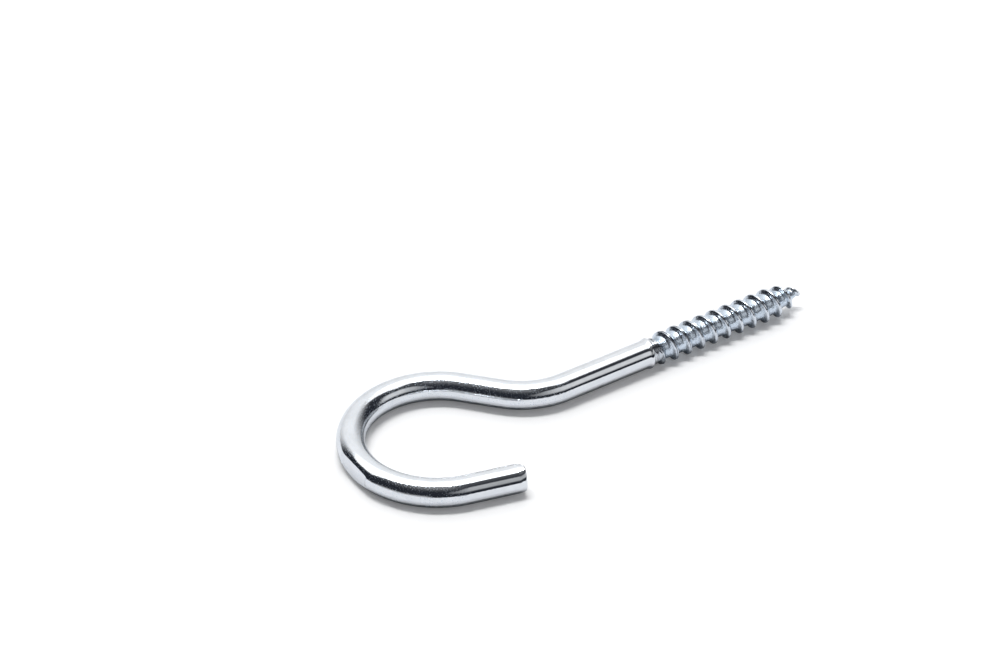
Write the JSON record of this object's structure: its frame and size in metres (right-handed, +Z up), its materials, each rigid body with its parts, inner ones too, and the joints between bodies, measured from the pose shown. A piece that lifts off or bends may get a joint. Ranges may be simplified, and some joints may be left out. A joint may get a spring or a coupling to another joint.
{
  "type": "screw hook",
  "caption": "Round steel wire bent to an open hook at one end and threaded as a woodscrew with a gimlet point at the other, bright zinc plated.",
  "frame": {"origin": "on the screw's axis, where the plain shank ends and the thread begins", "axes": "+X along the screw's axis towards its point, the hook lies in the XY plane and its free end is on the -Y side, +Z up as it lies flat"},
  "size_m": [0.0998, 0.0386, 0.0062],
  "materials": {
    "zinc_plated_steel": "bright zinc plating over drawn wire, slightly bluish, with a fine grain"
  },
  "bodies": {
    "root": {"screw_hook": "zinc_plated_steel"}
  },
  "joints": []
}
